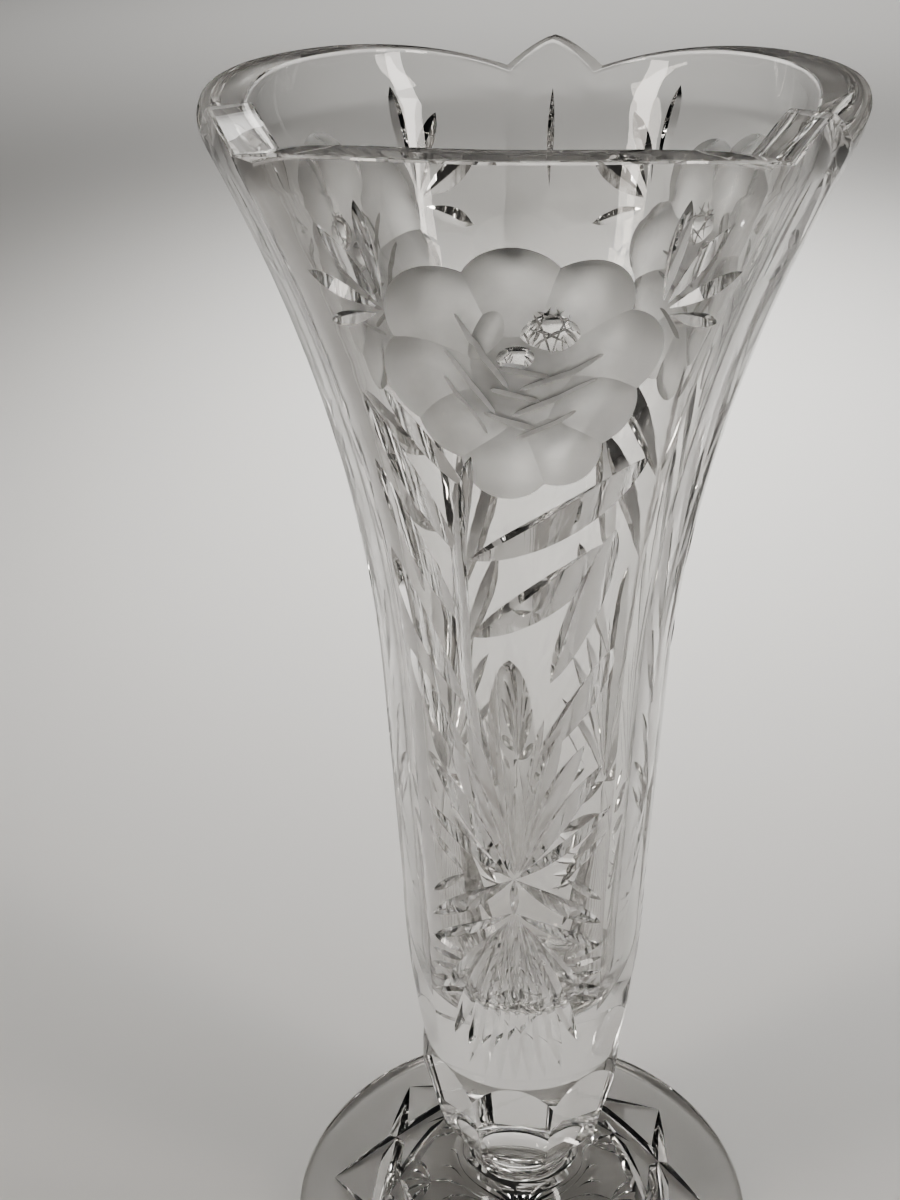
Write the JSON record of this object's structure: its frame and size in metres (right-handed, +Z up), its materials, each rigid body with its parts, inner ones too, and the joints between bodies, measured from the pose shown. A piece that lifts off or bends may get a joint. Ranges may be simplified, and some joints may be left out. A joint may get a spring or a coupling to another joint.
{
  "type": "vase",
  "caption": "Footed trumpet vase in clear cut glass with a scalloped rim, leaf cuts and frosted flowers.",
  "frame": {"origin": "centre of the foot's flat underside, on the surface the vase stands on", "axes": "+Z up along the vase's axis, -Y out of the middle of one flower panel"},
  "size_m": [0.1098, 0.1091, 0.2558],
  "materials": {
    "bowl_glass": "polished cut glass, frosted petals",
    "knop_glass": "polished cut glass",
    "foot_glass": "polished cut glass"
  },
  "bodies": {
    "root": {"bowl": "bowl_glass", "knop": "knop_glass", "foot": "foot_glass"}
  },
  "joints": []
}
